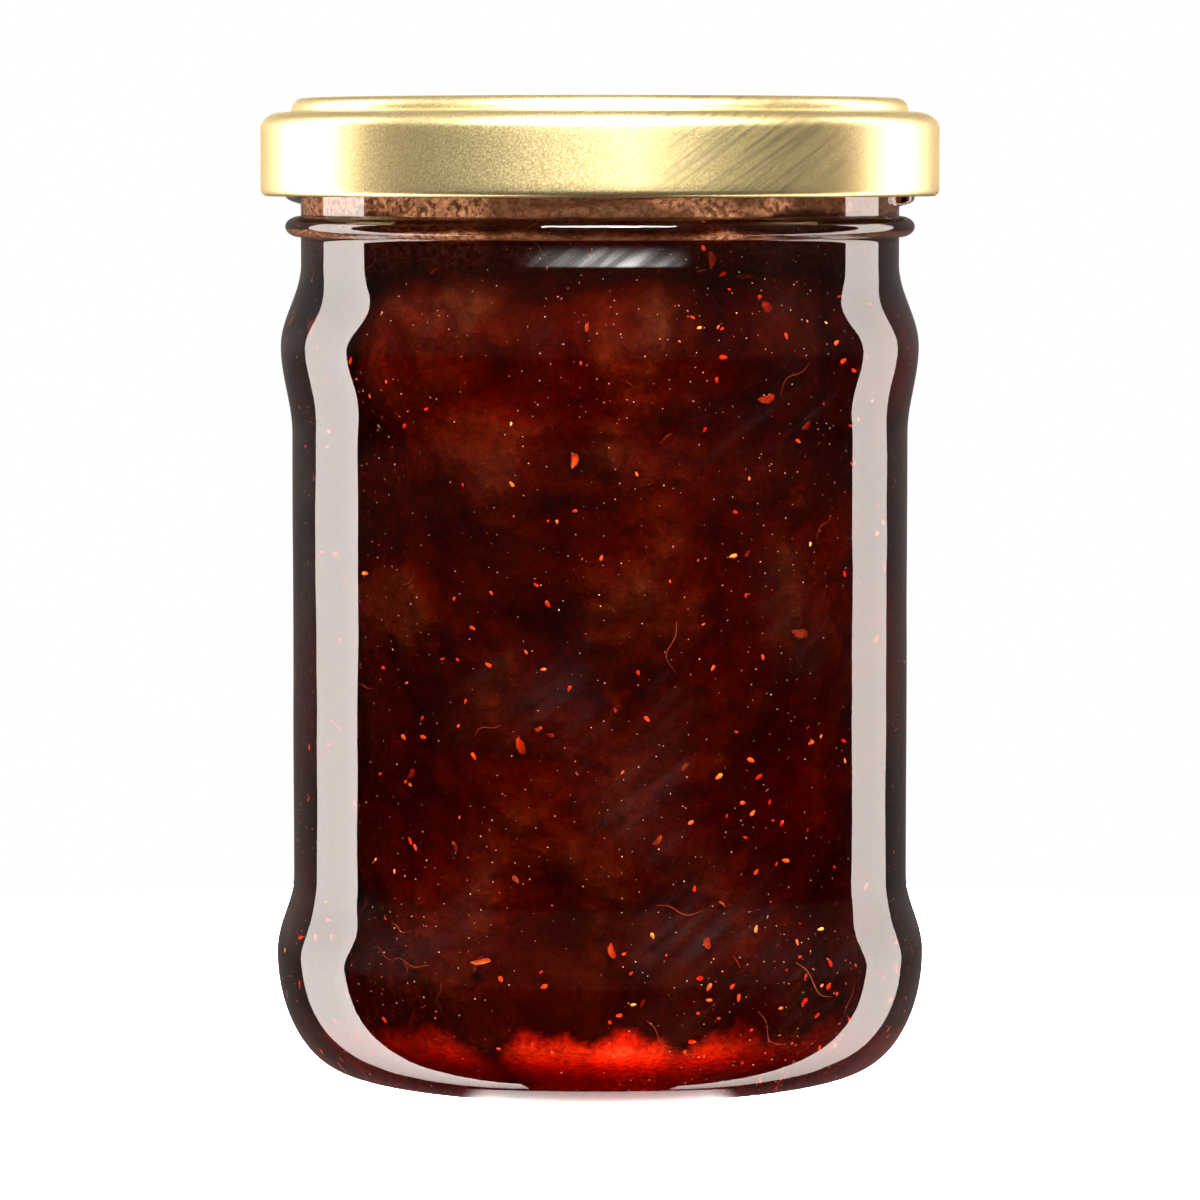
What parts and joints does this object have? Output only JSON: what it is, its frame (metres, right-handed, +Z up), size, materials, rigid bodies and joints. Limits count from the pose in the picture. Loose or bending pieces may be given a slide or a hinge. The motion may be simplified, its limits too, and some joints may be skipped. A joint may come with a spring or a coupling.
{
  "type": "jam jar",
  "caption": "Round glass jar with a bulge above and below its label panel, full of dark red jam and closed by a satin gold twist-off lid.",
  "frame": {"origin": "middle of the base, in the plane of the bearing ring", "axes": "+Z up along the jar's axis, towards the lid; -Y faces the viewer, +X to the right"},
  "size_m": [0.0738, 0.0738, 0.1059],
  "materials": {
    "glass": "clear flint glass, smooth",
    "gold_lacquer": "satin pale gold lacquer over fine-grained steel",
    "jam": "wet, glossy and translucent, with seeds and fruit"
  },
  "bodies": {
    "root": {"jar": "glass", "lid": "gold_lacquer", "jam": "jam"}
  },
  "joints": []
}
